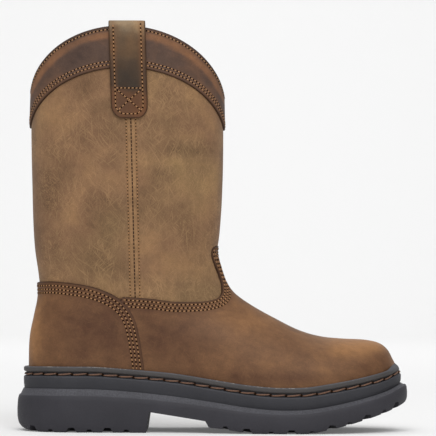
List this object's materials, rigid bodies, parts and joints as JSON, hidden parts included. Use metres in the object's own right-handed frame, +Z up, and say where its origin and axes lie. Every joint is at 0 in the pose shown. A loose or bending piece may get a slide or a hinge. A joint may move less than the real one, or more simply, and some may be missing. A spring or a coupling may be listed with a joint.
{
  "type": "pull-on boot",
  "caption": "Tall pull-on leather work boot for the right foot, with a scalloped collar, a cuff, pull straps at each side and a lugged rubber sole with a heel.",
  "frame": {"origin": "on the floor under the boot, at the middle of its length and width", "axes": "+X towards the toe, +Y to the inner (medial) side, +Z up the shaft"},
  "size_m": [0.312, 0.1164, 0.3239],
  "materials": {
    "sole_rubber": "matt charcoal rubber",
    "footbed": "matt footbed cover",
    "shaft_leather": "distressed tan leather",
    "foot_leather": "distressed brown leather",
    "cuff_leather": "waxed dark brown leather"
  },
  "bodies": {
    "root": {"outsole": "sole_rubber", "midsole": "sole_rubber", "welt": "sole_rubber", "insole": "footbed", "upper": "shaft_leather", "vamp": "foot_leather", "counter": "foot_leather", "cuff": "cuff_leather", "pull_strap_lateral": "cuff_leather", "pull_strap_medial": "cuff_leather"}
  },
  "joints": []
}
